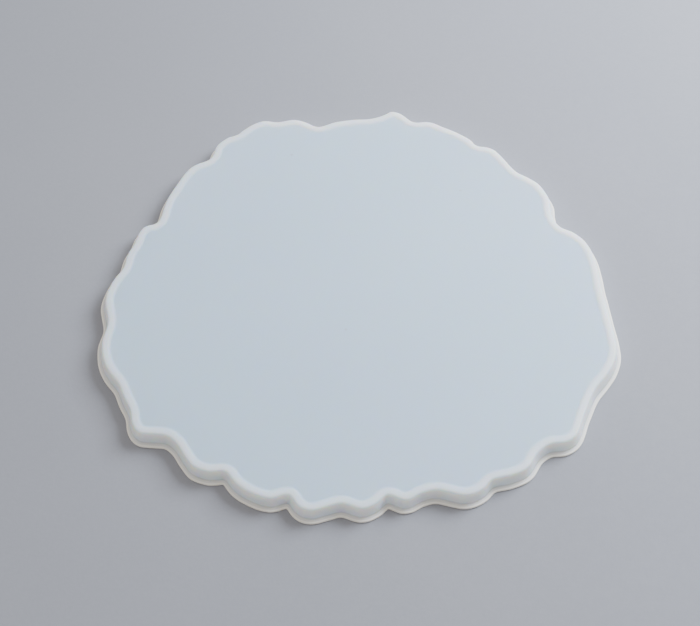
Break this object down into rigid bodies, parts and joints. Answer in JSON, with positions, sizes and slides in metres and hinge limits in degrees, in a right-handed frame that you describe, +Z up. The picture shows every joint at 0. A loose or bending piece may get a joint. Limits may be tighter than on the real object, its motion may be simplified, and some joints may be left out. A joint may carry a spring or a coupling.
{
  "type": "resin casting mould",
  "caption": "Tray mould in soft translucent silicone, lying face down: agate-slice outline, thin flat floor on top, and a wall with a flat lip round its rim, over a shallow cavity for resin.",
  "frame": {"origin": "middle of the footprint's bounding box, in the plane of the rim, which rests on the table", "axes": "+Z up, out of the floor's outer face and away from the cavity's mouth; +X along the slightly longer width; +Y towards the back"},
  "size_m": [0.2998, 0.2906, 0.01],
  "materials": {
    "silicone": "translucent white silicone, satin, slightly blue where it is thin"
  },
  "bodies": {
    "root": {"mould_body": "silicone"}
  },
  "joints": []
}
